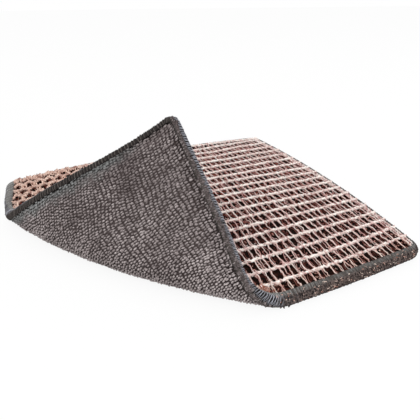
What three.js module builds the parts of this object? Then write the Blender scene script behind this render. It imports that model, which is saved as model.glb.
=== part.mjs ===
// Copper scouring cloth lying copper side up, with its near left corner rolled back over itself.
// Three sewn pieces: a loop-pile microfibre back, an openwork copper-thread face and an overlock-stitched hem.
// Each piece is built flat as one closed solid, cut along fold lines, and then every vertex is laid into the fold.

import * as THREE from 'three';
import { mergeVertices } from 'three/addons/utils/BufferGeometryUtils.js';

// Flat cloth: x runs along the front edge and y along the left edge, from the near left corner
const clothWidth = 166.7;
const clothDepth = 154;
const clothThickness = 5.4;
const cornerRadius = 6.2;

// How far the soft cloth is pulled out of square at its corners, and how far its edges bow outwards
const frontLeftPull = new THREE.Vector2(-7.4, -2.3);
const frontRightPull = new THREE.Vector2(-4.1, 8.8);
const backRightPull = new THREE.Vector2(0.3, 12);
const backLeftPull = new THREE.Vector2(6.4, -13);
const frontBow = 4.7;
const rightBow = 5.6;
const backBow = 8.8;
const leftBow = -3.3;

// Layers, from the underside up
const backThickness = 2.5;
const layerGap = 0.5;
const ridgeHeight = 0.8;

// Overlock hem wrapped round the edge of both layers
const hemWidth = 5;
const hemWall = 0.8;
const hemClearance = 0.6;
const hemNoseWall = 1.5;
const hemNoseSteps = 5;
const hemRise = 0.8;

// Copper rows and the gaps between them
const rowPitch = 7.48;
const rowWidth = 3.2;
const firstRowInset = 9.5;
const lastRowInset = 8;
const gapsPerBand = 6;
const crossThreadWidth = 3;
const gapSideInset = 8;

// Fold: where the crease leaves the left and front edges, and how the corner rolls over it at each end
const creaseOnLeft = 114.3;
const creaseOnFront = 87.5;
const creaseShift = 9.5;
const creaseBow = 10.6;
const rollLengthLeft = 18;
const rollLengthFront = 23.5;
const rollAngleLeft = THREE.MathUtils.degToRad(92);
const rollAngleFront = THREE.MathUtils.degToRad(161.2);
const flapBendLeft = 0.0299;
const flapBendFront = -0.0223;
const bendEase = 0.2;

// Fineness of the facets
const cellSize = 15;
const cornerSteps = 4;
const rollFacet = 3.6;
const flapFacet = 14;
const foldLineSnap = 0.7;
const arcSteps = 48;

// Heights that follow from the layers
const faceUnderside = backThickness + layerGap;
const squeezedTop = clothThickness - hemWall - hemClearance;
const squeezedBottom = hemWall + hemClearance;
const valleyTop = clothThickness - ridgeHeight;
const layerInset = hemNoseWall + hemClearance;
const hemReach = hemWidth + hemClearance;
const fullInset = hemReach + hemRise;

const lerp = THREE.MathUtils.lerp;

// Crease frame: along runs from the left edge to the front edge, across points away from the folded corner
const creaseStart = new THREE.Vector2(0, creaseOnLeft);
const creaseEnd = new THREE.Vector2(creaseOnFront, 0);
const creaseLength = creaseStart.distanceTo(creaseEnd);
const along = creaseEnd.clone().sub(creaseStart).divideScalar(creaseLength);
const across = new THREE.Vector2(-along.y, along.x);

// Bends the sharp corners of the rectangle into quarter circles, keeping each point's distance to the edge
function roundCorner(x, y) {
  const fromSide = Math.min(x, clothWidth - x);
  const fromEnd = Math.min(y, clothDepth - y);
  if (fromSide >= cornerRadius || fromEnd >= cornerRadius) {
    return new THREE.Vector2(x, y);
  }
  const inset = Math.min(fromSide, fromEnd);
  const radius = cornerRadius - inset;
  const swing = fromSide < fromEnd ? (cornerRadius - fromEnd) / radius : 2 - (cornerRadius - fromSide) / radius;
  const angle = swing * Math.PI / 4;
  const sideward = cornerRadius - radius * Math.cos(angle);
  const endward = cornerRadius - radius * Math.sin(angle);
  return new THREE.Vector2(
    x < clothWidth / 2 ? sideward : clothWidth - sideward,
    y < clothDepth / 2 ? endward : clothDepth - endward,
  );
}

// Pulls the flat rectangle into the slightly uneven outline of the real cloth
function pullOutOfSquare(flat) {
  const u = flat.x / clothWidth;
  const v = flat.y / clothDepth;
  const front = frontLeftPull.clone().lerp(frontRightPull, u);
  const back = backLeftPull.clone().lerp(backRightPull, u);
  const pull = front.lerp(back, v);
  const sideBow = 4 * v * (1 - v) * (rightBow * u - leftBow * (1 - u));
  const endBow = 4 * u * (1 - u) * (backBow * v - frontBow * (1 - v));
  return new THREE.Vector2(flat.x + pull.x + sideBow, flat.y + pull.y + endBow);
}

// Distances of a flat point in the crease frame: station along the crease, 0 to 1, and arc past its start
function creasePlace(flat) {
  const pulled = pullOutOfSquare(flat);
  const offset = pulled.sub(creaseStart);
  const run = offset.dot(along);
  const station = run / creaseLength;
  const rollStart = creaseShift - creaseBow * 4 * station * (1 - station);
  const beyond = offset.dot(across);
  return { run, station, rollStart, beyond, arc: rollStart - beyond };
}

// Share of the roll's whole turn reached at a share of its length: eased in and out, evenly curved between
function turnShare(x) {
  const full = 2 * bendEase * (1 - bendEase);
  const place = THREE.MathUtils.clamp(x, 0, 1);
  if (place < bendEase) {
    return place * place / full;
  }
  if (place < 1 - bendEase) {
    return (place - bendEase / 2) / (1 - bendEase);
  }
  return 1 - (1 - place) * (1 - place) / full;
}

// Slope of the cloth at an arc length past the start of the roll
function slopeAt(arc, station) {
  const rollLength = lerp(rollLengthLeft, rollLengthFront, station);
  const rollAngle = lerp(rollAngleLeft, rollAngleFront, station);
  const flapBend = lerp(flapBendLeft, flapBendFront, station);
  return rollAngle * turnShare(arc / rollLength) + flapBend * Math.max(arc - rollLength, 0);
}

// Lays a point of the flat cloth, at a height above its underside, into the folded cloth
function foldPoint(point) {
  const flat = new THREE.Vector2(point.x, point.y);
  const { run, station, rollStart, beyond, arc } = creasePlace(flat);
  let reach = beyond;
  let rise = 0;
  let slope = 0;
  if (arc > 0) {
    const step = arc / arcSteps;
    reach = rollStart;
    for (let i = 0; i < arcSteps; i += 1) {
      const middle = slopeAt((i + 0.5) * step, station);
      reach -= Math.cos(middle) * step;
      rise += Math.sin(middle) * step;
    }
    slope = slopeAt(arc, station);
  }
  reach += Math.sin(slope) * point.z;
  rise += Math.cos(slope) * point.z;
  const place = creaseStart.clone().addScaledVector(along, run).addScaledVector(across, reach);
  return new THREE.Vector3(place.x, place.y, rise);
}

// Splits every triangle along the lines of equal arc, so that all pieces share the same fold lines
function cutAlongFoldLines(triangles) {
  const arcOf = (point) => creasePlace(new THREE.Vector2(point.x, point.y)).arc;
  const rollEnd = Math.max(rollLengthLeft, rollLengthFront);
  const farthest = Math.max(...triangles.flat().map(arcOf));
  let cut = triangles;
  for (let level = 0; level < farthest; level += level < rollEnd ? rollFacet : flapFacet) {
    cut = cut.flatMap((triangle) => cutTriangle(triangle, arcOf, level));
  }
  return cut;
}

function cutTriangle(triangle, arcOf, level) {
  const sides = triangle.map((point) => {
    const past = arcOf(point) - level;
    return Math.abs(past) < foldLineSnap ? 0 : past;
  });
  if (Math.min(...sides) >= 0 || Math.max(...sides) <= 0) {
    return [triangle];
  }
  const below = [];
  const above = [];
  triangle.forEach((point, i) => {
    const next = (i + 1) % 3;
    if (sides[i] <= 0) below.push(point);
    if (sides[i] >= 0) above.push(point);
    if (sides[i] * sides[next] < 0) {
      const crossing = crossingPoint(point, sides[i], triangle[next], sides[next]);
      below.push(crossing);
      above.push(crossing);
    }
  });
  return [...fan(below), ...fan(above)];
}

// The same point whichever way the edge runs, so that neighbouring triangles still meet
function crossingPoint(start, startSide, end, endSide) {
  if (startSide > endSide) {
    return crossingPoint(end, endSide, start, startSide);
  }
  return start.clone().lerp(end, startSide / (startSide - endSide));
}

function fan(points) {
  const triangles = [];
  for (let i = 2; i < points.length; i += 1) {
    triangles.push([points[0], points[i - 1], points[i]]);
  }
  return triangles;
}

// Closed flat sheet over a grid of lines. A cell can be left open, and a crest can rise inside its two side edges.
function sheetTriangles(xLines, yLines, topAt, bottomAt, isOpen, crestAt) {
  const point = (i, j, heightAt) => {
    const flat = roundCorner(xLines[i], yLines[j]);
    return new THREE.Vector3(flat.x, flat.y, heightAt(i, j));
  };
  const open = (i, j) => (
    i < 0 || j < 0 || i >= xLines.length - 1 || j >= yLines.length - 1 || isOpen(i, j)
  );
  const triangles = [];
  const wall = (i, j, nextI, nextJ) => triangles.push(...fan([
    point(i, j, bottomAt),
    point(nextI, nextJ, bottomAt),
    point(nextI, nextJ, topAt),
    point(i, j, topAt),
  ]));
  for (let i = 0; i < xLines.length - 1; i += 1) {
    for (let j = 0; j < yLines.length - 1; j += 1) {
      if (isOpen(i, j)) continue;
      const ring = [[i, j], [i + 1, j], [i + 1, j + 1], [i, j + 1]];
      const leftHalf = xLines[i] < clothWidth / 2;
      const frontHalf = yLines[j] < clothDepth / 2;
      if (leftHalf !== frontHalf) ring.push(ring.shift());
      triangles.push(...fan(ring.map(([a, b]) => point(a, b, bottomAt)).reverse()));
      const crests = [crestAt(i, j), crestAt(i + 1, j)];
      if (crests[0] || crests[1]) {
        const [nearLeft, nearRight, farRight, farLeft] = [[i, j], [i + 1, j], [i + 1, j + 1], [i, j + 1]]
          .map(([a, b]) => point(a, b, topAt));
        const rightFirst = [crests[1], farRight, farLeft, crests[0], nearLeft, nearRight];
        const leftFirst = [crests[0], nearLeft, nearRight, farRight, farLeft];
        triangles.push(...fan((crests[1] ? rightFirst : leftFirst).filter(Boolean)));
      } else {
        triangles.push(...fan(ring.map(([a, b]) => point(a, b, topAt))));
      }
      if (open(i, j - 1)) wall(i, j, i + 1, j);
      if (open(i + 1, j)) wall(i + 1, j, i + 1, j + 1);
      if (open(i, j + 1)) wall(i + 1, j + 1, i, j + 1);
      if (open(i - 1, j)) wall(i, j + 1, i, j);
    }
  }
  return triangles;
}

// Lines at the given insets from both ends of a span, with other lines between
function linesAcross(span, insets, between) {
  const innermost = insets.at(-1);
  const inner = between.filter((line) => line > innermost && line < span - innermost);
  return [...insets, ...inner, ...insets.map((inset) => span - inset).reverse()];
}

// Even lines between the hem's inner edges, shared by the back and the hem
function evenLines(span) {
  const start = Math.max(fullInset, cornerRadius);
  const count = Math.ceil((span - 2 * start) / cellSize);
  return Array.from({ length: count + 1 }, (_, i) => lerp(start, span - start, i / count));
}

function insetOf(x, y) {
  return Math.min(x, clothWidth - x, y, clothDepth - y);
}

// Loop-pile back, thinner where the hem squeezes it
function backTriangles() {
  const insets = [layerInset, hemReach, fullInset];
  const xLines = linesAcross(clothWidth, insets, evenLines(clothWidth));
  const yLines = linesAcross(clothDepth, insets, evenLines(clothDepth));
  const bottomAt = (i, j) => (insetOf(xLines[i], yLines[j]) < fullInset ? squeezedBottom : 0);
  return sheetTriangles(xLines, yLines, () => backThickness, bottomAt, () => false, () => null);
}

// Copper face: a ridge along every row, and a band of gaps between each row and the next
function faceTriangles() {
  const rowCount = 1 + Math.floor((clothDepth - firstRowInset - lastRowInset) / rowPitch);
  const rows = Array.from({ length: rowCount }, (_, k) => firstRowInset + k * rowPitch);
  const gapPitch = (clothWidth - 2 * gapSideInset + crossThreadWidth) / gapsPerBand;
  const gapStarts = Array.from({ length: gapsPerBand }, (_, k) => gapSideInset + k * gapPitch);
  const gapLines = gapStarts.flatMap((start) => [start, start + gapPitch - crossThreadWidth]);
  const rowLines = rows.flatMap((row) => [row - rowWidth / 2, row + rowWidth / 2]);
  const insets = [layerInset, hemReach];
  const xLines = linesAcross(clothWidth, insets, gapLines);
  const yLines = linesAcross(clothDepth, insets, rowLines);
  const topAt = (i, j) => (insetOf(xLines[i], yLines[j]) <= hemReach ? squeezedTop : valleyTop);
  const isOpen = (i, j) => (
    gapStarts.includes(xLines[i]) && rows.slice(1).some((row) => yLines[j + 1] === row - rowWidth / 2)
  );
  const crestAt = (i, j) => {
    const row = rows.find((line) => yLines[j] === line - rowWidth / 2);
    return row && gapLines.includes(xLines[i]) ? new THREE.Vector3(xLines[i], row, clothThickness) : null;
  };
  return sheetTriangles(xLines, yLines, topAt, () => faceUnderside, isOpen, crestAt);
}

// Section of the hem as inset from the edge and height: a round nose outside, a slot for the layers inside
function hemSection() {
  const noseRadius = clothThickness / 2;
  const nose = Array.from({ length: hemNoseSteps + 1 }, (_, k) => {
    const angle = Math.PI / 2 + Math.PI * k / hemNoseSteps;
    return new THREE.Vector2(noseRadius + noseRadius * Math.cos(angle), noseRadius + noseRadius * Math.sin(angle));
  });
  const slot = [
    new THREE.Vector2(hemWidth, 0),
    new THREE.Vector2(hemWidth, hemWall),
    new THREE.Vector2(hemNoseWall, hemWall),
    new THREE.Vector2(hemNoseWall, clothThickness - hemWall),
    new THREE.Vector2(hemWidth, clothThickness - hemWall),
    new THREE.Vector2(hemWidth, clothThickness),
  ];
  return [...nose, ...slot];
}

// Stations round the outline, each as a point on the edge and the direction inwards
function hemStations() {
  const stations = [];
  const corners = [
    { x: cornerRadius, y: cornerRadius, start: Math.PI },
    { x: clothWidth - cornerRadius, y: cornerRadius, start: Math.PI * 1.5 },
    { x: clothWidth - cornerRadius, y: clothDepth - cornerRadius, start: 0 },
    { x: cornerRadius, y: clothDepth - cornerRadius, start: Math.PI / 2 },
  ];
  corners.forEach((corner, k) => {
    for (let step = 0; step <= cornerSteps; step += 1) {
      const angle = corner.start + Math.PI / 2 * step / cornerSteps;
      const outward = new THREE.Vector2(Math.cos(angle), Math.sin(angle));
      const edge = new THREE.Vector2(corner.x, corner.y).addScaledVector(outward, cornerRadius);
      stations.push({ edge, inward: outward.negate() });
    }
    const { edge, inward } = stations.at(-1);
    const span = k % 2 === 0 ? clothWidth : clothDepth;
    const ahead = new THREE.Vector2(-inward.y, inward.x).negate();
    evenLines(span).slice(1, -1).forEach((line) => {
      stations.push({ edge: edge.clone().addScaledVector(ahead, line - cornerRadius), inward });
    });
  });
  return stations;
}

function hemTriangles() {
  const section = hemSection();
  const stations = hemStations();
  const rings = stations.map(({ edge, inward }) => section.map((place) => {
    const flat = edge.clone().addScaledVector(inward, place.x);
    return new THREE.Vector3(flat.x, flat.y, place.y);
  }));
  return rings.flatMap((ring, k) => {
    const nextRing = rings[(k + 1) % rings.length];
    return section.flatMap((_, i) => {
      const next = (i + 1) % section.length;
      return fan([ring[i], ring[next], nextRing[next], nextRing[i]]);
    });
  });
}

function foldedMesh(name, flatTriangles, look) {
  const corners = cutAlongFoldLines(flatTriangles).flat().map(foldPoint);
  const soup = new THREE.BufferGeometry().setFromPoints(corners);
  const geometry = mergeVertices(soup);
  geometry.computeVertexNormals();
  const mesh = new THREE.Mesh(geometry, new THREE.MeshStandardMaterial(look));
  mesh.name = name;
  return mesh;
}

const pileLook = { color: 0x6f6864, roughness: 0.95, metalness: 0 };
const copperLook = { color: 0xb98a76, roughness: 0.45, metalness: 0.7 };
const threadLook = { color: 0x4a4a4e, roughness: 0.85, metalness: 0 };

const group = new THREE.Group();
group.add(foldedMesh('microfibre_back', backTriangles(), pileLook));
group.add(foldedMesh('copper_mesh', faceTriangles(), copperLook));
group.add(foldedMesh('overlock_hem', hemTriangles(), threadLook));

// The origin is on the table under the middle of the cloth
group.position.set(-clothWidth / 2, -clothDepth / 2, 0);

export default group;
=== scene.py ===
import bpy
import math
import numpy as np
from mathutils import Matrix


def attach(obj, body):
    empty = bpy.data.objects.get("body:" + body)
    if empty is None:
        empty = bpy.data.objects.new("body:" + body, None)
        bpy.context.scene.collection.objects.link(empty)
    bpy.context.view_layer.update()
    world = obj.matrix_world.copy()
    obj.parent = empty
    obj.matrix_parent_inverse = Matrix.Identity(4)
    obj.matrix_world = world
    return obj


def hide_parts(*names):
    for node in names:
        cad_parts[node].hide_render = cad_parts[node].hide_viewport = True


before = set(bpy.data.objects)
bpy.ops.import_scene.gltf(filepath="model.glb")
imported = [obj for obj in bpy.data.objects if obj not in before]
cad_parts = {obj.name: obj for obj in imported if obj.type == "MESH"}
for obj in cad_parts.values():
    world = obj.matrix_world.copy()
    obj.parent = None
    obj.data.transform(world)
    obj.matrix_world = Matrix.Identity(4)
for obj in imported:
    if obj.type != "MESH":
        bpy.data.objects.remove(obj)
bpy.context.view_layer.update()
dice = np.random.default_rng(7)
print("frame loaded")

# The flat cloth and its fold, in metres
# x runs along the front edge, y along the left edge, and height up from the underside
cloth = {
    "width": 0.1667,
    "depth": 0.154,
    "thickness": 0.0054,
    "cornerRadius": 0.0062,
    "cornerPoint": 0.0007,               # how much sharper the flap's own corner is drawn out
    "frontLeftPull": (-0.0074, -0.0023),
    "frontRightPull": (-0.0041, 0.0088),
    "backRightPull": (0.0003, 0.012),
    "backLeftPull": (0.0064, -0.013),
    "frontBow": 0.0047,
    "rightBow": 0.0056,
    "backBow": 0.0088,
    "leftBow": -0.0033,
    "creaseOnLeft": 0.1143,
    "creaseOnFront": 0.0875,
    "creaseShift": 0.0095,
    "creaseBow": 0.0106,
    "rollLength": (0.018, 0.0235),       # at the left edge, at the front edge
    "rollAngle": (math.radians(92), math.radians(161.2)),
    "flapBend": (29.9, -22.3),           # radians per metre past the roll
    "bendEase": 0.2,
    "arcSteps": 40,
}
creaseLength = math.hypot(cloth["creaseOnLeft"], cloth["creaseOnFront"])
creaseAlong = np.array([cloth["creaseOnFront"], -cloth["creaseOnLeft"]]) / creaseLength
creaseAcross = np.array([cloth["creaseOnLeft"], cloth["creaseOnFront"]]) / creaseLength


def between(pair, share):
    return pair[0] + (pair[1] - pair[0]) * share


# Climbs from 0 to 1 over a span that begins at start
def fadeIn(value, start, span):
    return np.clip((value - start) / span, 0, 1)


# Falls from 1 to 0 over a span that finishes at end
def fadeOut(value, end, span):
    return np.clip((end - value) / span, 0, 1)


def jitter(spread, shape):
    return dice.normal(0, spread, shape)


def turnShare(place):
    ease = cloth["bendEase"]
    place = np.clip(place, 0, 1)
    early = place ** 2 / (2 * ease * (1 - ease))
    middle = (place - ease / 2) / (1 - ease)
    late = 1 - (1 - place) ** 2 / (2 * ease * (1 - ease))
    return np.where(place < ease, early, np.where(place < 1 - ease, middle, late))


def slopeAt(arc, station):
    rollLength = between(cloth["rollLength"], station)
    turn = between(cloth["rollAngle"], station) * turnShare(arc / rollLength)
    return turn + between(cloth["flapBend"], station) * np.maximum(arc - rollLength, 0)


# Lays flat points, at a height above the underside, into the folded cloth
def foldCloth(x, y, height):
    x, y, height = (np.asarray(a, float) for a in np.broadcast_arrays(x, y, height))
    point = np.clip(1 - x / cloth["cornerRadius"], 0, 1) * np.clip(1 - y / cloth["cornerRadius"], 0, 1)
    x, y = x - point * cloth["cornerPoint"], y - point * cloth["cornerPoint"]
    u, v = x / cloth["width"], y / cloth["depth"]
    front = [between((cloth["frontLeftPull"][i], cloth["frontRightPull"][i]), u) for i in (0, 1)]
    back = [between((cloth["backLeftPull"][i], cloth["backRightPull"][i]), u) for i in (0, 1)]
    sideBow = 4 * v * (1 - v) * (cloth["rightBow"] * u - cloth["leftBow"] * (1 - u))
    endBow = 4 * u * (1 - u) * (cloth["backBow"] * v - cloth["frontBow"] * (1 - v))
    pulledX = x + between((front[0], back[0]), v) + sideBow
    pulledY = y + between((front[1], back[1]), v) + endBow - cloth["creaseOnLeft"]
    run = pulledX * creaseAlong[0] + pulledY * creaseAlong[1]
    beyond = pulledX * creaseAcross[0] + pulledY * creaseAcross[1]
    station = run / creaseLength
    rollStart = cloth["creaseShift"] - cloth["creaseBow"] * 4 * station * (1 - station)
    arc = np.maximum(rollStart - beyond, 0)
    reach, rise = np.where(arc > 0, rollStart, beyond), np.zeros_like(arc)
    for step in range(cloth["arcSteps"]):
        slope = slopeAt(arc * (step + 0.5) / cloth["arcSteps"], station)
        reach = reach - np.cos(slope) * arc / cloth["arcSteps"]
        rise = rise + np.sin(slope) * arc / cloth["arcSteps"]
    slope = slopeAt(arc, station)
    reach = reach + np.sin(slope) * height
    rise = rise + np.cos(slope) * height
    placeX = creaseAlong[0] * run + creaseAcross[0] * reach
    placeY = creaseAlong[1] * run + creaseAcross[1] * reach + cloth["creaseOnLeft"]
    return np.stack([placeX - cloth["width"] / 2, placeY - cloth["depth"] / 2, rise], -1)


# How far a flat point is inside the rounded outline
def insetOf(x, y):
    radius = cloth["cornerRadius"]
    side = np.minimum(x, cloth["width"] - x)
    end = np.minimum(y, cloth["depth"] - y)
    corner = radius - np.hypot(np.minimum(side - radius, 0), np.minimum(end - radius, 0))
    return np.where((side < radius) & (end < radius), corner, np.minimum(side, end))


# Smooth noise over the flat cloth, about -1 to 1, with waves of about the given scale
def drift(x, y, scale, seed):
    waveCount, shortest, longest, evenOut = 7, 0.6, 1.6, 3.2
    waves = np.random.default_rng(seed)
    total = np.zeros(np.broadcast(x, y).shape)
    for _ in range(waveCount):
        angle, phase = waves.uniform(0, 2 * math.pi, 2)
        stretch = waves.uniform(shortest, longest) * 2 * math.pi / scale
        total += np.sin((x * math.cos(angle) + y * math.sin(angle)) * stretch + phase)
    return total / evenOut


# One mesh from flat points and faces; tone is one value a point, for the materials
def makePiece(name, flat, faces, tone, looks, slot, groundAndShadeAbove=None):
    points = foldCloth(flat[:, 0], flat[:, 1], flat[:, 2])
    mesh = bpy.data.meshes.new(name)
    mesh.from_pydata(points.tolist(), [], faces)
    mesh.polygons.foreach_set("use_smooth", np.ones(len(mesh.polygons), bool))
    values = {
        "tone": tone,
        "height": flat[:, 2] / cloth["thickness"],
        "inset": insetOf(flat[:, 0], flat[:, 1]) * 1000,
        "flatX": flat[:, 0] * 1000,          # millimetres along the front edge
        "flatY": flat[:, 1] * 1000,
    }
    for key, value in values.items():
        attribute = mesh.attributes.new(key, "FLOAT", "POINT")
        attribute.data.foreach_set("value", np.asarray(value, np.float32))
    for look in looks:
        mesh.materials.append(look)
    # Faces above this height, the top of the back sheet, take the second material: dark backing with
    # painted shade
    if groundAndShadeAbove is not None:
        lowest = np.array([min(flat[i, 2] for i in face) for face in faces])
        mesh.polygons.foreach_set("material_index", (lowest > groundAndShadeAbove).astype(np.int32))
    piece = bpy.data.objects.new(name, mesh)
    bpy.context.scene.collection.objects.link(piece)
    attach(piece, "root")
    print(name, len(mesh.vertices), "points", sum(len(face) - 2 for face in faces), "triangles")
    return piece


def unit(vectors):
    return vectors / (np.linalg.norm(vectors, axis=-1, keepdims=True) + 1e-12)


# Closed tubes along many paths at once: paths is (count, steps, 3), with half sizes at every step
def tubes(paths, halfWidth, halfHeight, sides, twist=0.0, sideways=None):
    count, steps, _ = paths.shape
    ahead = unit(np.gradient(paths, axis=1))
    if sideways is None:
        side = unit(np.cross(ahead, np.broadcast_to([0.0, 0.0, 1.0], ahead.shape)))
    else:
        side = unit(sideways[:, None] - ahead * (sideways[:, None] * ahead).sum(-1, keepdims=True))
    up = np.cross(side, ahead)
    grid = (count, steps)
    spin = np.broadcast_to(twist, grid)[..., None, None]
    angle = (np.arange(sides) + 0.5) * 2 * math.pi / sides
    across = np.cos(angle)[:, None] * np.broadcast_to(halfWidth, grid)[..., None, None]
    lift = np.sin(angle)[:, None] * np.broadcast_to(halfHeight, grid)[..., None, None]
    points = paths[:, :, None, :] + side[:, :, None, :] * (across * np.cos(spin) - lift * np.sin(spin))
    points = points + up[:, :, None, :] * (across * np.sin(spin) + lift * np.cos(spin))
    ring = np.arange(sides)
    step = np.arange(steps - 1)[:, None] * sides
    after = (ring + 1) % sides
    quads = np.stack([step + ring, step + after, step + after + sides, step + ring + sides], -1)
    quads = quads.reshape(-1, 4)
    starts = (np.arange(count) * steps * sides)[:, None, None]
    walls = (quads[None] + starts).reshape(-1, 4).tolist()
    first = (ring[::-1][None] + starts[:, 0]).tolist()
    last = (ring[None] + (steps - 1) * sides + starts[:, 0]).tolist()
    return points.reshape(-1, 3), walls + first + last


# One value a station into one a point, kept between 0 and 1
def toned(tone, sides):
    return np.repeat(np.clip(tone.ravel(), 0, 1), sides)


def joined(parts):
    flat, faces, tone, start = [], [], [], 0
    for points, polygons, tones in parts:
        flat.append(points)
        faces += [[i + start for i in polygon] for polygon in polygons]
        tone.append(tones)
        start += len(points)
    return np.concatenate(flat), faces, np.concatenate(tone)


# A socket that can be used in sums; its operators add Math nodes
class Wire:
    def __init__(self, surface, socket):
        self.surface = surface
        self.socket = socket

    def maths(self, operation, first, second):
        return self.surface.node("ShaderNodeMath", {"operation": operation}, {0: first, 1: second})

    def __add__(self, other):
        return self.maths("ADD", self, other)

    def __radd__(self, other):
        return self.maths("ADD", other, self)

    def __sub__(self, other):
        return self.maths("SUBTRACT", self, other)

    def __rsub__(self, other):
        return self.maths("SUBTRACT", other, self)

    def __mul__(self, other):
        return self.maths("MULTIPLY", self, other)

    def __rmul__(self, other):
        return self.maths("MULTIPLY", other, self)


# A material and the nodes behind it
class Surface:
    def __init__(self, name):
        self.material = bpy.data.materials.new(name)
        self.material.use_nodes = True
        self.tree = self.material.node_tree
        self.tree.nodes.clear()

    def node(self, kind, settings=None, inputs=None, output=0):
        made = self.tree.nodes.new(kind)
        for key, value in (settings or {}).items():
            if key == "stops":
                while len(made.color_ramp.elements) < len(value):
                    made.color_ramp.elements.new(0.5)
                for element, (place, colour) in zip(made.color_ramp.elements, value):
                    element.position, element.color = place, colour
            else:
                setattr(made, key, value)
        for key, value in (inputs or {}).items():
            if isinstance(value, Wire):
                self.tree.links.new(value.socket, made.inputs[key])
            else:
                made.inputs[key].default_value = value
        return Wire(self, made.outputs[output]) if made.outputs else made

    def attribute(self, name):
        return self.node("ShaderNodeAttribute", {"attribute_name": name}, output="Fac")

    def noise(self, scale, detail=2.0, rough=0.5):
        place = self.node("ShaderNodeTexCoord", output="Object")
        return self.node("ShaderNodeTexNoise", {},
                         {"Vector": place, "Scale": scale, "Detail": detail, "Roughness": rough})

    def mix(self, factor, first, second, blend="MIX"):
        return self.node("ShaderNodeMix", {"data_type": "RGBA", "blend_type": blend},
                         {0: factor, 6: first, 7: second}, output=2)

    def band(self, value, low, high):
        return self.node("ShaderNodeMapRange", {"interpolation_type": "SMOOTHSTEP"},
                         {"Value": value, "From Min": low, "From Max": high})

    def ramp(self, value, stops):
        return self.node("ShaderNodeValToRGB", {"stops": stops}, {"Fac": value})

    def bump(self, height, distance, strength):
        return self.node("ShaderNodeBump", {},
                         {"Height": height, "Distance": distance, "Strength": strength})

    def finish(self, inputs):
        shader = self.node("ShaderNodeBsdfPrincipled", {}, inputs)
        self.node("ShaderNodeOutputMaterial", {}, {"Surface": shader})
        return self.material


def rgb(red, green, blue):
    share = [c / 255 for c in (red, green, blue)]
    return [*(c / 12.92 if c <= 0.04045 else ((c + 0.055) / 1.055) ** 2.4 for c in share), 1.0]


# Loop pile back
pile = {
    "pitchAlong": 0.00116,               # loops along a knitted row, then from row to row
    "pitchAcross": 0.00152,
    "squeeze": 0.25,                     # share by which the rows close up towards the low end of the fold
    "loopWidth": 0.00047,                # half sizes
    "loopLength": 0.00077,
    "baseHeight": 0.00095,
    "backTop": 0.0025,
    "cell": 0.0024,
    "edgeInset": 0.0016,
    "startInset": 0.0033,                # the first loops beside the hem
    "frontInset": 0.001,
    "squeezeStart": 0.03,                # where the rows begin to close up, and over what length
    "squeezeSpan": 0.03,
    "columnShift": 0.00015,              # every second row lies this much to each side
    "seed": 11,
    "lean": 0.2,
    "tipReach": (0.0001, -0.00012),
    "tipJitter": 0.00016,
    "tone": 0.36,
    "toneSpread": 0.14,
    "ridgePitch": 0.0034,
    "ridgeHeight": 0.00012,
    "wrinkles": [(0.013, 0.1), (0.0225, -0.15), (0.031, 0.2), (0.043, 0.05), (0.0535, 0.25), (0.064, 0.1)],
    "wrinkleEnd": 0.017,                 # how far in from the front edge the wrinkles reach
    "wrinkleFade": 0.008,
    "wrinkleWidth": 0.0006,
    "swellWidth": 0.0014,
    "swellAway": 0.0022,
    "flap": {"rings": 3, "sides": 7},    # fineness of one loop
    "under": {"rings": 2, "sides": 4},
    "lipFibres": 650,
    "lipReach": (0.003, 0.094),          # along the front edge, then in from it
    "lipInset": (0.0012, 0.0023),
    "lipLength": 0.0009,
    "lipWidth": 0.00015,
}


def pileMaterial():
    s = Surface("loopPile")
    tone, height, inset = s.attribute("tone"), s.attribute("height"), s.attribute("inset")
    flatX = s.attribute("flatX")
    warm = s.mix(tone, rgb(110, 100, 99), rgb(204, 194, 193))
    cool = s.mix(tone, rgb(114, 116, 116), rgb(176, 179, 178))
    nearHem = 1 - s.band(inset + s.noise(220.0) * 9.0, 9.0, 14.0)
    leftSide = (1 - s.band(flatX, 12.0, 20.0)) * s.band(s.attribute("flatY"), 14.0, 28.0)
    body = s.mix(nearHem * leftSide, warm, cool)
    patch = s.mix(s.band(s.noise(45.0, 3.0), 0.35, 0.7), rgb(222, 220, 220), rgb(255, 255, 255))
    tinted = s.mix(1.0, body, patch, "MULTIPLY")
    # Painted shade: the loops turn darker towards their bases, where they stand close together
    gapShade = s.mix(nearHem * leftSide, rgb(72, 63, 62), rgb(90, 89, 88))
    strands = s.mix(s.band(s.noise(2300.0, 3.0, 0.7), 0.4, 0.6), rgb(184, 180, 180), rgb(255, 255, 255))
    colour = s.mix(1.0, s.mix(s.band(height, 0.2, 0.06), gapShade, tinted), strands, "MULTIPLY")
    fibre = s.noise(2600.0, 2.0, 0.6)
    return s.finish({"Base Color": colour, "Roughness": 0.95, "Specular IOR Level": 0.15,
                     "Normal": s.bump(fibre, 0.0003, 0.5)})


def groundAndShadeMaterial():
    s = Surface("darkGroundAndShade")
    fleck = s.band(s.noise(700.0, 2.0), 0.55, 0.75)
    # Partly the dark backing's own colour and partly painted shade deep in the holes of the copper face
    colour = s.mix(fleck, rgb(20, 9, 6), rgb(52, 26, 20))
    smear = s.band(s.noise(480.0, 2.0), 0.5, 0.6) * (s.band(s.attribute("flatY"), 30.0, 95.0) * 0.65 + 0.2)
    colour = s.mix(smear, colour, rgb(140, 74, 63))
    return s.finish({"Base Color": colour, "Roughness": 0.95, "Specular IOR Level": 0.1,
                     "Normal": s.bump(s.noise(1800.0, 2.0), 0.0004, 0.6)})


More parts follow.
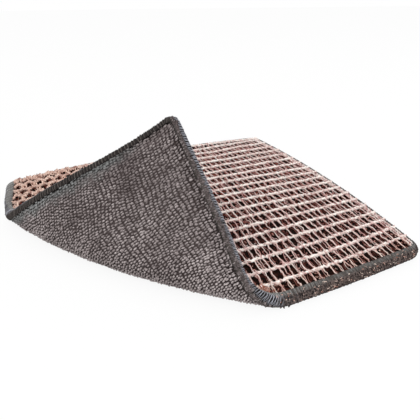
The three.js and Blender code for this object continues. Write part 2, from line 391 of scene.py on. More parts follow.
def roundCorner(x, y):
    radius = cloth["cornerRadius"]
    side, end = np.minimum(x, cloth["width"] - x), np.minimum(y, cloth["depth"] - y)
    inside = (side < radius) & (end < radius)
    arm = np.maximum(radius - np.minimum(side, end), 1e-9)
    swing = np.where(side < end, (radius - end) / arm, 2 - (radius - side) / arm) * math.pi / 4
    newSide = np.where(inside, radius - arm * np.cos(swing), side)
    newEnd = np.where(inside, radius - arm * np.sin(swing), end)
    return (np.where(x < cloth["width"] / 2, newSide, cloth["width"] - newSide),
            np.where(y < cloth["depth"] / 2, newEnd, cloth["depth"] - newEnd))


def closedSheet(lower, upper, shape):
    rows, columns = shape
    index = np.arange(rows * columns).reshape(shape)
    a, b, c, d = index[:-1, :-1], index[1:, :-1], index[1:, 1:], index[:-1, 1:]
    top = np.stack([a, b, c, d], -1).reshape(-1, 4) + rows * columns
    bottom = np.stack([a, d, c, b], -1).reshape(-1, 4)
    rim = np.concatenate([index[:-1, 0], index[-1, :-1], index[:0:-1, -1], index[0, :0:-1]])
    after = np.roll(rim, -1)
    walls = np.stack([rim, after, after + rows * columns, rim + rows * columns], -1)
    return np.concatenate([lower, upper]), np.concatenate([top, bottom, walls]).tolist()


def backSheet():
    inset, rimHeight = pile["edgeInset"], 0.0014
    across = np.linspace(0, 1, int(cloth["width"] / pile["cell"]))
    up = np.linspace(0, 1, int(cloth["depth"] / pile["cell"]))
    u, v = np.meshgrid(across, up, indexing="ij")
    x, y = roundCorner(inset + u * (cloth["width"] - 2 * inset), inset + v * (cloth["depth"] - 2 * inset))
    bottom = rimHeight + (pile["baseHeight"] - rimHeight) * fadeIn(insetOf(x, y), 0.005, 0.001)
    lower = np.stack([x, y, bottom], -1).reshape(-1, 3)
    upper = np.stack([x, y, np.full_like(x, pile["backTop"])], -1).reshape(-1, 3)
    points, faces = closedSheet(lower, upper, u.shape)
    return points, faces, np.full(len(points), 0.3)


# How far a flat point has gone into the roll and flap, in metres; below zero it lies on the table
def pastCrease(x, y):
    run = x * creaseAlong[0] + (y - cloth["creaseOnLeft"]) * creaseAlong[1]
    beyond = x * creaseAcross[0] + (y - cloth["creaseOnLeft"]) * creaseAcross[1]
    station = run / creaseLength
    return cloth["creaseShift"] - cloth["creaseBow"] * 4 * station * (1 - station) - beyond


# Shallow wrinkles running in from the front hem of the flap, and the swellings beside them
def wrinkles(x, y):
    dip, swell = np.zeros_like(x), np.zeros_like(x)
    fade = fadeOut(y, pile["wrinkleEnd"], pile["wrinkleFade"])
    for place, slant in pile["wrinkles"]:
        away = x - place - slant * y + 0.0006 * np.sin(y * 900 + place * 3000)
        dip += np.exp(-(away / pile["wrinkleWidth"]) ** 2) * fade
        swell += np.exp(-((away - pile["swellAway"]) / pile["swellWidth"]) ** 2) * fade
    return np.clip(dip, 0, 1), np.clip(swell, 0, 1)


# The loops of the flap, or those of the underside; the noise and draws are the same for both
def pileLoops(onFlap):
    x, y = np.meshgrid(np.arange(0, cloth["width"], pile["pitchAlong"]),
                       np.arange(0, cloth["depth"] * 1.4, pile["pitchAcross"]), indexing="ij")
    squeeze = 1 - pile["squeeze"] * onFlap * fadeIn(x, pile["squeezeStart"], pile["squeezeSpan"])
    y = y * squeeze
    sideStep = np.where(np.arange(x.shape[1]) % 2, pile["columnShift"], -pile["columnShift"])
    x = x + drift(x, y, 0.03, 3) * 0.0003 + sideStep
    x, y, squeeze = x.ravel(), (y + drift(x, y, 0.025, 4) * 0.0004).ravel(), squeeze.ravel()
    wild, count = np.random.default_rng(pile["seed"]), len(x)
    x = x + wild.normal(0, 0.00009, count)
    y = y + wild.normal(0, 0.00013, count)
    past = pastCrease(x, y)
    nearSide = np.clip(1 - np.abs(y - 0.012) / 0.012, 0, 1) * fadeIn(x, 0.02, 0.02)
    besideHem = fadeOut(x, 0.0095, 0.003) * (past > 0)
    wrinkle, fold = wrinkles(x, y)
    along = (x * creaseAlong[0] + y * creaseAlong[1]) * 2 * math.pi / pile["ridgePitch"]
    ridge = np.sin(along + 1.5 * drift(x, y, 0.03, 12)) * fadeIn(past, 0.001, 0.003)
    grow = 1 + wild.normal(0, 0.08, count) + 0.2 * besideHem
    lean = pile["lean"] * drift(x, y, 0.022, 6) + wild.normal(0, pile["lean"], count)
    top = 0.00005 + np.abs(wild.normal(0, 0.0001, count)) + 0.0001 * (1 + drift(x, y, 0.014, 8))
    top = top - pile["ridgeHeight"] * ridge + 0.00035 * wrinkle - 0.00015 * fold + 0.0003 * besideHem
    shift = wild.normal(0, pile["tipJitter"], (count, 2)) + np.array(pile["tipReach"])
    tone = pile["tone"] + pile["toneSpread"] * wild.normal(0, 1, count) * (1 - 0.5 * besideHem)
    tone = tone + 0.09 * drift(x, y, 0.018, 9) + 0.22 * nearSide + 0.4 * np.clip(1 - past / 0.04, 0, 1)
    # Painted shade in the wrinkles and painted highlight on the swellings beside them; the loops along the
    # front edge of the flap get painted shade beside the hem
    tone = tone - 0.3 * wrinkle + 0.1 * fold - 0.4 * fadeOut(y, 0.0026, 0.0012) * (x > y)
    # Painted light: the loops are lighter from 3 cm along the front edge onwards
    tone = tone + 0.08 * fadeIn(x, 0.03, 0.03)
    inFlap = past > -0.002
    first = np.where((y < x) & inFlap, pile["frontInset"], pile["startInset"])
    kept = (insetOf(x, y) > first) & (inFlap == onFlap)
    picked = [values[kept] for values in (x, y, grow, squeeze, lean, top, shift, tone)]
    return domes(*picked, **pile["flap" if onFlap else "under"])


# Dark fibre over the lip between the pile and the folded front hem, partly real fuzz and partly painted
# shade along the hem
def lipFuzzAndShade():
    count = pile["lipFibres"]
    x, y = dice.uniform(*pile["lipReach"], count), dice.uniform(*pile["lipInset"], count)
    height = 0.0002 + np.abs(jitter(0.0001, count))
    return curls(np.stack([x, y, height], -1), pile["lipLength"], pile["lipWidth"], -0.05, 4, 0.3)


# Half ellipsoids hanging under the sheet, one for each loop
def domes(x, y, grow, squeeze, lean, top, shift, tone, rings, sides):
    bluntness, tipHighlight = 0.8, 0.12
    angle = np.arange(sides) * 2 * math.pi / sides
    cos, sin = np.cos(lean)[:, None], np.sin(lean)[:, None]
    layers, shades = [], []
    for ring in range(rings):
        climb = ring / rings * math.pi / 2
        reach = math.cos(climb) ** bluntness
        lengthways = pile["loopLength"] * reach * (grow * squeeze)[:, None] * np.sin(angle)
        sideways = pile["loopWidth"] * reach * grow[:, None] * np.cos(angle)
        level = pile["baseHeight"] + (top - pile["baseHeight"]) * math.sin(climb)
        moved = shift * math.sin(climb)
        layers.append(np.stack([x[:, None] + sideways * cos - lengthways * sin + moved[:, :1],
                                y[:, None] + sideways * sin + lengthways * cos + moved[:, 1:],
                                np.broadcast_to(level[:, None], lengthways.shape)], -1))
        shades.append(np.broadcast_to(tone[:, None], lengthways.shape))
    # Painted highlight: the tip point of every loop gets a lighter tone
    layers.append(np.stack([x + shift[:, 0], y + shift[:, 1], top], -1)[:, None])
    shades.append(tone[:, None] + tipHighlight)
    points, shades = np.concatenate(layers, 1), np.concatenate(shades, 1)
    ring = np.arange(sides)
    after = (ring + 1) % sides
    step = np.arange(rings - 1)[:, None] * sides
    quads = np.stack([step + ring, step + ring + sides, step + after + sides, step + after], -1)
    quads = quads.reshape(-1, 4)
    last = (rings - 1) * sides
    caps = np.stack([ring + last, np.full(sides, rings * sides), after + last], -1)
    starts = (np.arange(len(x)) * points.shape[1])[:, None, None]
    faces = (quads[None] + starts).reshape(-1, 4).tolist() + (caps[None] + starts).reshape(-1, 3).tolist()
    return points.reshape(-1, 3), faces, np.clip(shades.ravel(), 0, 1)


# Copper face: rows of pale yarn, and copper thread crossing between them
copper = {
    "rowPitch": 0.00748,
    "firstRow": 0.0095,
    "rows": 19,
    "rowHeight": 0.0045,
    "rowStep": 0.00085,
    "strandRadius": 0.00034,
    "strandSpread": 0.00048,
    "strandTurn": 0.0031,
    "columnPitch": 0.00318,
    "columnStart": 0.0034,
    "threadHeight": 0.0042,
    "leftInset": 0.0043,
    "rightInset": 0.0015,
    "frontInset": 0.0034,
    "backInset": 0.0009,
    "backRow": 0.0034,                   # how far in the yarn along the back edge lies
    "rightRows": ((0.0024, 0.5), (0.0036, 0.35)),      # inset and tone of the yarns up the right edge
    "sag": 0.00026,
    "netPitch": 0.0053,                  # waves of the loose net at the back left corner
    "netWave": 0.0014,
    "netAlong": (0.058, 0.03),           # where the net has ended, and the length over which it loosens
    "netAcross": (0.088, 0.02),
    "netColourX": (34.0, 62.0),          # millimetres
    "netColourY": (95.0, 115.0),
    "columns": 60,                       # more than fit, and those outside the hem are left out
    "mainThread": dict(steps=7, side=0.00015, bulge=0.0003, sink=0.0001, rough=0.00013, width=0.00023,
                       flatness=0.8, sides=4, level=0.88, webbed=1.2),
    "sideThread": dict(steps=6, side=0.00045, bulge=0.0004, sink=0.0003, rough=0.0002, width=0.00016,
                       flatness=0.7, sides=4, level=0.55, webbed=0.6),
    "fineThread": dict(steps=6, side=0.0006, bulge=0.0008, sink=0.0007, rough=0.00016, width=0.00011,
                       flatness=0.8, sides=3, level=0.5),
    "deepThread": dict(steps=6, side=0.0009, bulge=0.0012, sink=0.0009, rough=0.0002, width=0.00012,
                       flatness=0.8, sides=3, level=0.3),
    "backThread": dict(steps=6, side=0.0008, bulge=0.0008, sink=0.0003, rough=0.0002, width=0.00014,
                       flatness=0.8, sides=3, level=0.7),
    "backThreadsFrom": 0.075,
    "bits": ((1.3, 0.0011, 0.001, 0.2), (1.9, 0.0009, 0.0002, 0.74)),     # share, length, sink, tone
    "bitWidth": 0.00017,
    "fuzzCount": 5500,
    "fuzzSpread": 0.0008,
    "fuzzLength": 0.001,
    "fuzzWidth": 0.00012,
}


# 1 where the copper shows most, in the net at the back left corner
def netShare(s):
    leftSide = 1 - s.band(s.attribute("flatX"), *copper["netColourX"])
    return leftSide * s.band(s.attribute("flatY"), *copper["netColourY"])


def yarnMaterial():
    s = Surface("paleYarn")
    tone = s.attribute("tone")
    colour = s.ramp(tone, [(0.0, rgb(176, 122, 118)), (0.3, rgb(216, 188, 184)), (0.6, rgb(238, 226, 219)),
                           (1.0, rgb(250, 246, 241))])
    speck = s.band(s.noise(900.0, 3.0), 0.58, 0.66)
    colour = s.mix(speck * 0.7, colour, rgb(160, 102, 94))
    colour = s.mix(netShare(s) * 0.85, colour, s.mix(tone, rgb(112, 56, 42), rgb(222, 188, 170)))
    return s.finish({"Base Color": colour, "Roughness": 0.75, "Specular IOR Level": 0.3,
                     "Normal": s.bump(s.noise(3200.0, 2.0), 0.0002, 0.5)})


def tinselMaterial(name, stops, metal):
    s = Surface(name)
    tone = s.attribute("tone")
    colour = s.ramp(tone, stops)
    frontSide = 1 - s.band(s.attribute("flatY"), 9.0, 17.0)
    warmth = s.node("ShaderNodeMath", {"operation": "MAXIMUM"}, {0: netShare(s) * 0.7, 1: frontSide * 0.3})
    colour = s.mix(warmth, colour, s.mix(tone, rgb(120, 54, 34), rgb(228, 192, 168)))
    glint = s.noise(1500.0, 2.0)
    rough = s.band(glint, 0.2, 0.9) * 0.3 + 0.35
    return s.finish({"Base Color": colour, "Metallic": metal, "Roughness": rough,
                     "Normal": s.bump(glint, 0.0002, 0.4)})


# Place across the cloth of a row of yarn, with the bows that the rows have
def rowLine(k, x):
    base = copper["firstRow"] + k * copper["rowPitch"]
    rightEnd = fadeIn(x, 0.125, 0.035)
    bow = rightEnd * (0.0016 * np.clip(1 - base / 0.045, 0, 1) + 0.0036 * fadeIn(base, 0.09, 0.045))
    bow = bow + 0.0009 * math.exp(-((base - 0.07) / 0.02) ** 2) * np.exp(-((x - 0.112) / 0.018) ** 2)
    loose = looseness(x, base)
    wave = np.sin(x * 2 * math.pi / copper["netPitch"] + math.pi * (k % 2)) * copper["netWave"] * loose
    sag = np.cos((x - columnShift(base)) * 2 * math.pi / copper["columnPitch"]) * copper["sag"]
    wander = drift(x, base, 0.03, 20 + k) * 0.0002 + drift(x, base, 0.007, 60 + k) * 0.00013
    return base + bow + wave + sag * (1 - loose) + wander


# 1 in the loose net at the back left corner, 0 elsewhere
def looseness(x, y):
    return fadeOut(x, *copper["netAlong"]) * fadeIn(y, *copper["netAcross"])


# The columns of thread shift to the left over the front rows
def columnShift(y):
    return copper["columnStart"] + np.interp(y, [0.012, 0.07], [0.0, -0.0031])


# The face rises a little where it meets the hem at the right and the back
def endLift(x, y):
    right = np.exp(-((cloth["width"] - x - 0.0022) / 0.0014) ** 2)
    back = np.exp(-((cloth["depth"] - y - 0.0022) / 0.0016) ** 2)
    return 0.0002 * right + 0.0006 * back


# Three rough strands twisted round each other along a line of flat points
def twistedYarn(line, height, seed, loose, level, scale=1.0):
    along = np.concatenate([[0], np.cumsum(np.linalg.norm(np.diff(line, axis=0), axis=1))])
    flat = along * 0
    ahead = unit(np.gradient(line, axis=0))
    start = dice.uniform(0, 2 * math.pi)
    for strand in range(3):
        seeds = [seed * 30 + strand * 7 + i for i in range(6)]
        angle = start + strand * 2 * math.pi / 3 + along * 2 * math.pi / copper["strandTurn"]
        angle = angle + drift(along, flat, 0.02, seeds[0]) * 0.8
        slow, quick = drift(along, flat, 0.006, seeds[1]), drift(along, flat, 0.0025, seeds[2])
        spread = copper["strandSpread"] * scale * (1 + 0.3 * slow + 0.3 * quick) * (1 + 1.2 * loose)
        offset = spread * np.cos(angle)
        x, y = line[:, 0] - ahead[:, 1] * offset, line[:, 1] + ahead[:, 0] * offset
        strandHeight = height + spread * (0.8 - 0.4 * loose) * np.sin(angle) + endLift(x, y)
        swelling = 1 + 0.28 * drift(along, flat, 0.0028, seeds[3]) + 0.55 * loose
        radius = copper["strandRadius"] * scale * swelling
        points, faces = tubes(np.stack([x, y, strandHeight], -1)[None], radius[None], radius[None], 5)
        tone = level + 0.2 * drift(along, flat, 0.006, seeds[4]) + jitter(0.28, len(along))
        yield points, faces, toned(tone, 5)


def rowYarns():
    parts = []
    left, right = copper["leftInset"] - 0.0005, cloth["width"] - copper["rightInset"]
    x = np.linspace(left, right, int((right - left) / copper["rowStep"]))
    for k in range(copper["rows"]):
        y = rowLine(k, x)
        loose = looseness(x, y)
        height = copper["rowHeight"] + drift(x, x * 0, 0.02, 250 + k) * 0.0001
        height = height + 0.0003 * loose * np.sin(x * 2 * math.pi / copper["netPitch"])
        parts += twistedYarn(np.stack([x, y], -1), height, k, loose, 0.54 + 0.016 * min(k, 12))
    loose = looseness(x, x * 0 + cloth["depth"])
    bumps = np.sin(x * 2 * math.pi / copper["netPitch"]) * loose
    backY = cloth["depth"] - copper["backRow"] + drift(x, x * 0, 0.02, 19) * 0.0003 + bumps * 0.0012
    parts += twistedYarn(np.stack([x, backY], -1), copper["rowHeight"] + bumps * 0.0003, 31, loose, 0.6)
    y = np.linspace(0.005, cloth["depth"] - 0.003, int(cloth["depth"] / 0.001))
    for inset, level in copper["rightRows"]:
        rightX = cloth["width"] - inset + drift(y, y * 0, 0.012, 23) * 0.0002
        height, seed = copper["threadHeight"] + y * 0, 33 + int(inset * 1e4)
        parts += twistedYarn(np.stack([rightX, y], -1), height, seed, 0.0, level, 0.62)
    return joined(parts)


# One entry for each cell of the mesh: where its thread starts and ends
def meshCells():
    cells = []
    for band in range(-1, copper["rows"] + 1):
        middle = copper["firstRow"] + copper["rowPitch"] * (band + 0.5)
        x = columnShift(middle) + np.arange(copper["columns"]) * copper["columnPitch"]
        node = (np.round(x / copper["netPitch"] - 0.25 + band / 2) + 0.25 - band / 2) * copper["netPitch"]
        snap = looseness(x, x * 0 + middle) > 0.45
        x = np.where(snap, node, x)          # in the net the threads tie the rows where they come together
        x = x[(x > copper["leftInset"]) & (x < cloth["width"] - copper["rightInset"] - 0.0003)]
        low = rowLine(band, x) if band >= 0 else x * 0 + copper["frontInset"]
        backRow = x * 0 + cloth["depth"] - copper["backRow"]
        high = rowLine(band + 1, x) if band < copper["rows"] - 1 else backRow
        if band == copper["rows"]:
            low, high = high, x * 0 + cloth["depth"] - copper["backInset"]
        cells.append(np.stack([x, low, high], -1))
    return np.concatenate(cells)


# One thread for each cell; side, bulge and rough are how much it may stray, sink how deep it hangs
def cellThreads(cells, steps, side, bulge, sink, rough, width, flatness, sides, level, webbed=0.0):
    one, grid = (len(cells), 1), (len(cells), steps)
    share = np.linspace(0, 1, steps)
    rise = (cells[:, 2] - cells[:, 1])[:, None]
    lean = -0.05 * rise + jitter(0.0002, one)
    x = cells[:, :1] + lean * (share - 0.5) + jitter(side, one) + jitter(rough, grid)
    x = x + jitter(bulge, one) * np.sin(share * math.pi)
    y = cells[:, 1:2] + rise * share + jitter(rough, grid)
    loose = looseness(x, y)
    x = x + loose * 0.0005 * jitter(1, one)
    height = copper["threadHeight"] - sink * np.sin(share * math.pi) + jitter(rough, grid)
    height = height + endLift(x, y)
    x = np.clip(x, copper["leftInset"] - 0.0003, cloth["width"] - copper["rightInset"] + 0.0003)
    web = 1 + webbed * np.abs(2 * share - 1) ** 3
    halfWidth = width * dice.uniform(0.75, 1.3, one) * web * (1 + 0.5 * loose)
    twist = dice.uniform(0, math.pi, one) + share * dice.uniform(-2.5, 2.5, one)
    points, faces = tubes(np.stack([x, y, height], -1), halfWidth, halfWidth * flatness, sides, twist)
    return points, faces, toned(level + jitter(0.16, grid) + jitter(0.12, one), sides)


def some(cells, share):
    return cells[dice.uniform(0, 1, len(cells)) < share]


def crossThreads(cells):
    return joined([cellThreads(cells, **copper[kind]) for kind in ("mainThread", "sideThread")])


# Thin curled copper strands and short bits lying deeper in the holes
def tinselBits(cells):
    backCells = cells[cells[:, 1] > copper["backThreadsFrom"]]
    parts = [cellThreads(some(cells, 0.9), **copper["fineThread"]),
             cellThreads(some(cells, 0.4), **copper["deepThread"]),
             cellThreads(some(backCells, 0.35), **copper["backThread"])]
    for share, length, sink, level in copper["bits"]:
        crowd = 1 + 1.5 * fadeIn(cells[:, 0], 0.156, 0.006)
        picked = cells[dice.choice(len(cells), int(len(cells) * share), p=crowd / crowd.sum())]
        count = len(picked)
        middle = picked[:, 1] + (picked[:, 2] - picked[:, 1]) * dice.uniform(0.15, 0.85, count)
        start = np.stack([picked[:, 0] + jitter(0.0011, count), middle,
                          copper["threadHeight"] - sink + jitter(0.00025, count)], -1)
        parts.append(curls(start, length, copper["bitWidth"], level))
    return joined(parts)


# Short curled bits of copper tinsel about given points
def curls(start, length, width, level, steps=4, vary=0.15):
    one, grid = (len(start), 1), (len(start), steps)
    heading = dice.uniform(0, 2 * math.pi, one)
    turn = jitter(1.2, one)
    share = np.linspace(-0.5, 0.5, steps)
    reach = length * dice.uniform(0.6, 1.5, one) * share
    x = start[:, :1] + reach * np.cos(heading + turn * share)
    y = start[:, 1:2] + reach * np.sin(heading + turn * share)
    x, y = np.clip(x, 0.002, cloth["width"] - 0.0012), np.maximum(y, 0.0001)
    path = np.stack([x, y, start[:, 2:] + jitter(0.00012, grid)], -1)
    halfWidth = width * dice.uniform(0.6, 1.4, one)
    points, faces = tubes(path, halfWidth, halfWidth * 0.5, 4, dice.uniform(0, 3, one))
    return points, faces, toned(level + jitter(vary, one) + jitter(0.08, grid), 4)


# Fuzz of pale and copper fibre along the rows
def rowFuzz():
    count = copper["fuzzCount"]
    row = dice.integers(0, copper["rows"], count)
    x = dice.uniform(copper["leftInset"], cloth["width"] - copper["rightInset"], count)
    y = np.empty(count)
    for k in range(copper["rows"]):
        y[row == k] = rowLine(k, x[row == k])
    y = y + jitter(copper["fuzzSpread"], count)
    height = copper["rowHeight"] + 0.0001 + np.abs(jitter(0.00035, count))
    return curls(np.stack([x, y, height], -1), copper["fuzzLength"], copper["fuzzWidth"], 0.55, 4, 0.3)


# Overlock hem: a soft core round the edge, with thread loops wrapped over it
hem = {
    "under": {"left": 0.0036, "front": 0.0024, "right": 0.0036, "back": 0.0036},     # width on the pile
    "over": {"left": 0.0044, "front": 0.0037, "right": 0.0017, "back": 0.0009},      # width on the copper
    "wall": 0.001,
    "noseWall": 0.0015,
    "stitchPitch": 0.00152,
    "threadRadius": 0.00024,
    "threads": ((0.0004, 0.7, 1.0), (-0.0003, 0.24, 0.6)),      # slant, tone and thinness of each
    "frontTone": 0.56,
    "frontThin": 0.6,
    "lacePitch": 0.0012,
    "laceRadius": 0.00011,
    "laceSlant": 0.00055,
    "laceTurn": (0.6, 1.42),             # how far round the nose the crossed threads go, in half turns
    "laceTone": 0.96,
    "foldEnd": 0.1,                      # where along the front edge the folded part has ended
    "foldFade": 0.008,
    "foldSlim": 0.0009,
    "slim": 0.00028,
    "sideDrop": 0.0006,                  # how much lower a hem that is narrow on the copper side stands
    "coreStep": 0.0015,
}


def hemMaterial():
    s = Surface("overlockThread")
    tone, height, flatX, flatY = (s.attribute(key) for key in ("tone", "height", "flatX", "flatY"))
    # Darker on the pile side of the hem, partly its own thread colour and partly painted shade
    under = s.mix(tone, rgb(34, 30, 29), rgb(88, 82, 78))
    nose = s.ramp(tone, [(0.0, rgb(16, 12, 12)), (0.75, rgb(112, 110, 113)), (1.0, rgb(164, 165, 174))])
    patchy = s.mix(s.band(s.noise(500.0), 0.4, 0.6), rgb(74, 70, 67), rgb(96, 95, 93))
    over = s.mix(tone, patchy, rgb(150, 149, 147))
    mottled = s.mix(s.band(s.noise(1500.0, 3.0, 0.7), 0.42, 0.62), rgb(25, 18, 17), rgb(116, 101, 96))
    toCorner = s.band(flatX, 92.0, 106.0) * (1 - s.band(flatY, 5.0, 9.0))
    colour = s.mix(s.band(height, 0.1, 0.24), under, s.mix(toCorner * 0.85, nose, mottled))
    colour = s.mix(s.band(height - toCorner * 0.1, 0.74, 0.9), colour, over)
    rightSide = s.band(flatX, 150.0, 162.0) * s.band(flatY, 4.0, 12.0)
    colour = s.mix(rightSide, colour, s.mix(tone, rgb(88, 84, 82), rgb(126, 123, 122)))
    return s.finish({"Base Color": colour, "Roughness": 0.88, "Specular IOR Level": 0.2,
                     "Normal": s.bump(s.noise(3000.0, 2.0), 0.0002, 0.5)})


# Edge points and inward directions at even steps round the outline
def outline(step):
    radius, width, depth = cloth["cornerRadius"], cloth["width"], cloth["depth"]
    arc = radius * math.pi / 2
    sides = [width - 2 * radius, depth - 2 * radius] * 2
    total = sum(sides) + 4 * arc
    count = int(total / step)
    along = np.arange(count) * total / count
    corners = [(width - radius, radius), (width - radius, depth - radius),
               (radius, depth - radius), (radius, radius)]
    starts = [(radius, 0), (width, radius), (width - radius, depth), (0, depth - radius)]
    edge, inward = np.zeros((count, 2)), np.zeros((count, 2))
    begin = 0.0
    for k in range(4):
        heading = k * math.pi / 2
        ahead = np.array([math.cos(heading), math.sin(heading)])
        straight = (along >= begin) & (along < begin + sides[k])
        edge[straight] = np.array(starts[k]) + ahead * (along[straight] - begin)[:, None]
        inward[straight] = [-math.sin(heading), math.cos(heading)]
        begin += sides[k]
        bend = (along >= begin) & (along < begin + arc)
        angle = heading - math.pi / 2 + (along[bend] - begin) / radius
        outward = np.stack([np.cos(angle), np.sin(angle)], -1)
        edge[bend] = np.array(corners[k]) + outward * radius
        inward[bend] = -outward
        begin += arc
    return edge, inward


# Width of the hem on one face of the cloth, which differs from side to side
def hemWidth(widths, inward):
    x, y = inward[:, :1], inward[:, 1:]
    return (widths["left"] * np.maximum(x, 0) ** 2 + widths["right"] * np.minimum(x, 0) ** 2
            + widths["front"] * np.maximum(y, 0) ** 2 + widths["back"] * np.minimum(y, 0) ** 2)


# 1 along the folded part of the front edge, 0 elsewhere
def foldedFront(edge, inward):
    return np.maximum(inward[:, 1:], 0) ** 2 * fadeOut(edge[:, :1], hem["foldEnd"], hem["foldFade"])


# Flat x and y of points that are so far in from the edge and slide so far along it
def besideEdge(edge, inward, inset, slide=0.0):
    ahead = np.stack([inward[:, 1], -inward[:, 0]], -1)
    return tuple(edge[:, i:i + 1] + inward[:, i:i + 1] * inset + ahead[:, i:i + 1] * slide for i in (0, 1))


# A hem thread through flat points, its cross-section square to the edge
def hemThread(x, y, level, inward, radius, tone):
    ahead = np.stack([inward[:, 1], -inward[:, 0], np.zeros(len(inward))], -1)
    points, faces = tubes(np.stack([x, y, level], -1), radius, radius, 4, 0.0, ahead)
    return points, faces, toned(tone, 4)


# Lowers the copper side of the hem where it is narrow
def lowered(level, over, shape):
    nose = cloth["thickness"] / 2
    drop = np.clip((nose - over) / nose, 0, 1) * hem["sideDrop"]
    level = np.broadcast_to(level, shape)
    return level - drop * (level > nose)


def hemCore():
    edge, inward = outline(hem["coreStep"])
    over, under = hemWidth(hem["over"], inward), hemWidth(hem["under"], inward)
    folded = foldedFront(edge, inward)
    under = under - folded * hem["foldSlim"]
    slim, thick = hem["slim"], cloth["thickness"]
    nose, wall = thick / 2, hem["wall"]
    angle = np.linspace(math.pi / 2, 1.5 * math.pi, 7)
    roundInset = np.broadcast_to(nose + (nose - slim) * np.cos(angle), (len(edge), 7))
    noseLevel = nose + (nose - slim) * np.sin(angle)
    inner = np.full_like(over, hem["noseWall"])
    topInner = np.minimum(inner, over - 0.0002)
    inset = np.concatenate([np.minimum(over, nose), roundInset[:, 1:], under, under, inner, topInner,
                            over, over], 1)
    level = np.concatenate([noseLevel, [slim, wall, wall, thick - wall, thick - wall, thick - slim]])
    x, y = besideEdge(edge, inward, inset)
    points = np.stack([x, y, lowered(level, over, x.shape)], -1)
    count, sides = x.shape
    station, side = np.meshgrid(np.arange(count), np.arange(sides), indexing="ij")
    after, nextSide = (station + 1) % count, (side + 1) % sides
    faces = np.stack([station * sides + side, station * sides + nextSide,
                      after * sides + nextSide, after * sides + side], -1).reshape(-1, 4)
    tone = np.full((count, sides), 0.02)
    tone[:, 6:9] += folded * [[0.25, 0.7, 0.7]]      # the last of the nose, and the strip beside the pile
    return points.reshape(-1, 3), faces.tolist(), tone.ravel()


# Crossed threads over the nose of the folded front edge
def laceStitches():
    edge, inward = outline(hem["lacePitch"])
    chosen = foldedFront(edge, inward)[:, 0] > 0.15
    edge, inward = edge[chosen], inward[chosen]
    steps = 7
    one, grid = (len(edge), 1), (len(edge), steps)
    nose = cloth["thickness"] / 2
    reach = nose - hem["threadRadius"]
    for slant in (hem["laceSlant"], -hem["laceSlant"]):
        angle = np.linspace(*hem["laceTurn"], steps) * math.pi + jitter(0.05, one)
        slide = np.linspace(-1, 1, steps) * slant + jitter(0.0001, one) + jitter(0.00005, grid)
        inset = nose + reach * np.cos(angle) + jitter(0.00006, grid)
        x, y = besideEdge(edge, inward, inset, slide)
        radius = hem["laceRadius"] * dice.uniform(0.75, 1.25, one)
        tone = hem["laceTone"] + jitter(0.09, one) + jitter(0.05, grid)
        yield hemThread(x, y, nose + reach * np.sin(angle), inward, radius, tone)


# Two threads wrapped over the rest of the edge, finer and more even along the front
def hemStitches():
    edge, inward = outline(hem["stitchPitch"])
    kept = foldedFront(edge, inward)[:, 0] < 0.6
    edge, inward = edge[kept], inward[kept]
    nose, thread = cloth["thickness"] / 2, hem["threadRadius"]
    reach = nose - thread
    over, under = hemWidth(hem["over"], inward), hemWidth(hem["under"], inward)
    front = np.maximum(inward[:, 1:], 0) ** 2
    frontTone = hem["frontTone"] * np.clip((0.128 - edge[:, :1]) / 0.018, 0.45, 1)
    parts = list(laceStitches())
    angle = np.linspace(math.pi / 2, 1.5 * math.pi, 8)
    topInset, roundInset = np.minimum(over, nose), nose + reach * np.cos(angle)
    path = np.concatenate([over, (over + topInset) / 2, np.minimum(roundInset, topInset),
                           np.maximum(under - 0.0005, nose - 0.0003), under], 1)
    path[:, -3] = roundInset[-1]
    level = np.concatenate([[nose + reach - 0.0002, nose + reach], nose + reach * np.sin(angle),
                            [nose - reach, nose - reach + 0.0002]])
    one, grid = (len(edge), 1), path.shape
    for turn, (slant, sideTone, sideThin) in enumerate(hem["threads"]):
        slide = np.linspace(-1, 1, grid[1]) * slant + jitter(0.00014, one) + turn * hem["stitchPitch"] / 2
        slide = slide + jitter(0.00005, grid)
        x, y = besideEdge(edge, inward, path + jitter(0.00007, grid), slide)
        thin = sideThin + front * (hem["frontThin"] - sideThin)
        radius = thread * thin * dice.uniform(0.85, 1.2, one)
        tone = sideTone + front * (frontTone - sideTone) + jitter(0.16, one) + jitter(0.05, grid)
        parts.append(hemThread(x, y, lowered(level, over, grid), inward, radius, tone))
    return joined(parts)


# Copper bits caught in the front hem, and the curled knot of copper beside the fold
stray = {
    "bits": 110,
    "bitsFrom": 0.006,                   # from the right edge, and how far along the front they reach
    "bitsReach": 0.066,
    "bitLength": 0.0008,
    "bitWidth": 0.00011,
    "knotCurls": 90,
    "knotPlace": (0.0945, 0.0078, 0.0046),
    "knotSpread": (0.0018, 0.0016, 0.0004),
    "knotLength": 0.0018,
    "knotWidth": 0.00016,
}


def strayBits():
    count, nose = stray["bits"], cloth["thickness"] / 2
    x = cloth["width"] - stray["bitsFrom"] - stray["bitsReach"] * dice.uniform(0, 1, count) ** 1.5
    climb = dice.uniform(-0.3, 1.5, count)
    y, height = nose - nose * np.cos(climb), nose + nose * np.sin(climb)
    y = y + np.where(climb > 1.3, dice.uniform(0, 0.0012, count), 0)
    hemBits = curls(np.stack([x, y, height], -1), stray["bitLength"], stray["bitWidth"], 0.7, 4, 0.2)
    places = zip(stray["knotPlace"], stray["knotSpread"])
    knot = np.stack([place + jitter(spread, stray["knotCurls"]) for place, spread in places], -1)
    return joined([hemBits, curls(knot, stray["knotLength"], stray["knotWidth"], 0.42, 5, 0.35)])


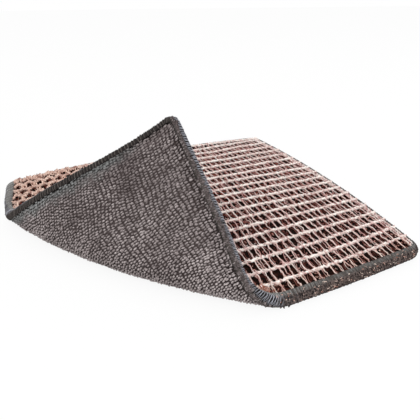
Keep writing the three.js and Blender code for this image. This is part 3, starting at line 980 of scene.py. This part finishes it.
pileLook, groundAndShadeLook, yarnLook, hemLook = pileMaterial(), groundAndShadeMaterial(), yarnMaterial(), hemMaterial()
threadLook = tinselMaterial("copperThread", [(0.0, rgb(146, 84, 80)), (0.4, rgb(204, 156, 152)),
                                             (0.7, rgb(228, 198, 191)), (1.0, rgb(240, 226, 219))], 0.1)
tinselLook = tinselMaterial("copperTinsel", [(0.0, rgb(84, 34, 28)), (0.35, rgb(150, 80, 72)),
                                             (0.65, rgb(206, 140, 130)), (1.0, rgb(240, 206, 194))], 0.5)
strayLook = tinselMaterial("strayCopper", [(0.0, rgb(112, 46, 30)), (0.35, rgb(198, 110, 76)),
                                           (0.6, rgb(212, 172, 160)), (1.0, rgb(246, 236, 224))], 0.1)
print("materials made")

back = makePiece("pileBack", *backSheet(), [pileLook, groundAndShadeLook], "pile", 0.0024)
flapLoops = makePiece("pileLoopsFlap", *joined([pileLoops(True), lipFuzzAndShade()]), [pileLook], "pile")
underLoops = makePiece("pileLoopsUnder", *pileLoops(False), [pileLook], "pile")
for piece in (back, flapLoops, underLoops):
    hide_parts("microfibre_back")
print("pile made")

rows = makePiece("copperRows", *rowYarns(), [yarnLook], "copper")
cells = meshCells()
threads = makePiece("copperThreads", *crossThreads(cells), [threadLook], "copper")
tinsel = makePiece("copperTinsel", *tinselBits(cells), [tinselLook], "copper")
fuzz = makePiece("rowFuzz", *rowFuzz(), [threadLook], "copper")
for piece in (rows, threads, tinsel, fuzz):
    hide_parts("copper_mesh")
print("copper face made")

core = makePiece("hemCore", *hemCore(), [hemLook], "thread")
stitches = makePiece("hemStitches", *hemStitches(), [hemLook], "thread")
for piece in (core, stitches):
    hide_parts("overlock_hem")
strayCopper = makePiece("strayCopper", *strayBits(), [strayLook], "copper")
print("hem made")

# Floor, lights and camera
studio = {
    "lens": 436.15 / 420 * 36,
    "aim": (0.01574, 0.00259, 0.0),
    "heading": 1.202,
    "pitch": 0.4611,
    "distance": 0.21243,
    "floorSize": 3.0,
    "floorDrop": 0.0001,
    "floorWhite": 0.9,
    "floorColour": (0.8, 0.8, 0.8, 1),
    "sky": 1.0,
    "lamps": {"keyLight": ((-0.35, -0.6, 0.9), 0.7, 4), "fillLight": ((0.7, -0.4, 0.6), 0.8, 2)},
}


# White where the camera looks straight at it or sees it mirrored
def whiteShare(s):
    camera, glossy, through = (s.node("ShaderNodeLightPath", output="Is " + kind + " Ray")
                               for kind in ("Camera", "Glossy", "Transmission"))
    return s.node("ShaderNodeMath", {"operation": "ADD", "use_clamp": True},
                  {0: camera, 1: glossy + through})


def makeFloor():
    mesh = bpy.data.meshes.new("studioFloor")
    size, level = studio["floorSize"], -studio["floorDrop"]
    corners = [(-size, -size, level), (size, -size, level), (size, size, level), (-size, size, level)]
    mesh.from_pydata(corners, [], [(0, 1, 2, 3)])
    floor = bpy.data.objects.new("studioFloor", mesh)
    bpy.context.scene.collection.objects.link(floor)
    s = Surface("paleFloor")
    diffuse = s.node("ShaderNodeBsdfDiffuse", {}, {"Color": studio["floorColour"]})
    glow = s.node("ShaderNodeEmission", {}, {"Color": (1, 1, 1, 1), "Strength": 1.0})
    share = whiteShare(s) * studio["floorWhite"]
    mixed = s.node("ShaderNodeMixShader", {}, {0: share, 1: diffuse, 2: glow})
    s.node("ShaderNodeOutputMaterial", {}, {"Surface": mixed})
    mesh.materials.append(s.material)


def makeLight(name, place, size, power):
    lamp = bpy.data.lights.new(name, "AREA")
    lamp.size, lamp.energy = size, power
    holder = bpy.data.objects.new(name, lamp)
    holder.location = place
    holder.rotation_euler = (math.atan2(math.hypot(place[0], place[1]), place[2]), 0,
                             math.atan2(place[0], -place[1]))
    bpy.context.scene.collection.objects.link(holder)


def makeWorld():
    world = bpy.data.worlds.new("studioSky")
    world.use_nodes = True
    tree = world.node_tree
    background = tree.nodes["Background"]
    background.inputs["Color"].default_value = (1, 1, 1, 1)
    background.inputs["Strength"].default_value = studio["sky"]
    bpy.context.scene.world = world


def makeCamera():
    lens = bpy.data.cameras.new("photoCamera")
    lens.lens, lens.sensor_width, lens.clip_start = studio["lens"], 36, 0.01
    camera = bpy.data.objects.new("photoCamera", lens)
    heading, pitch = studio["heading"], studio["pitch"]
    level = math.cos(pitch)
    way = np.array([math.cos(heading) * level, math.sin(heading) * level, -math.sin(pitch)])
    camera.location = np.array(studio["aim"]) - way * studio["distance"]
    camera.rotation_euler = (math.pi / 2 - pitch, 0, heading - math.pi / 2)
    bpy.context.scene.collection.objects.link(camera)
    bpy.context.scene.camera = camera


makeFloor()
for name, (place, size, power) in studio["lamps"].items():
    makeLight(name, place, size, power)
makeWorld()
makeCamera()
bpy.context.scene.view_settings.view_transform = "Standard"
print("studio made")
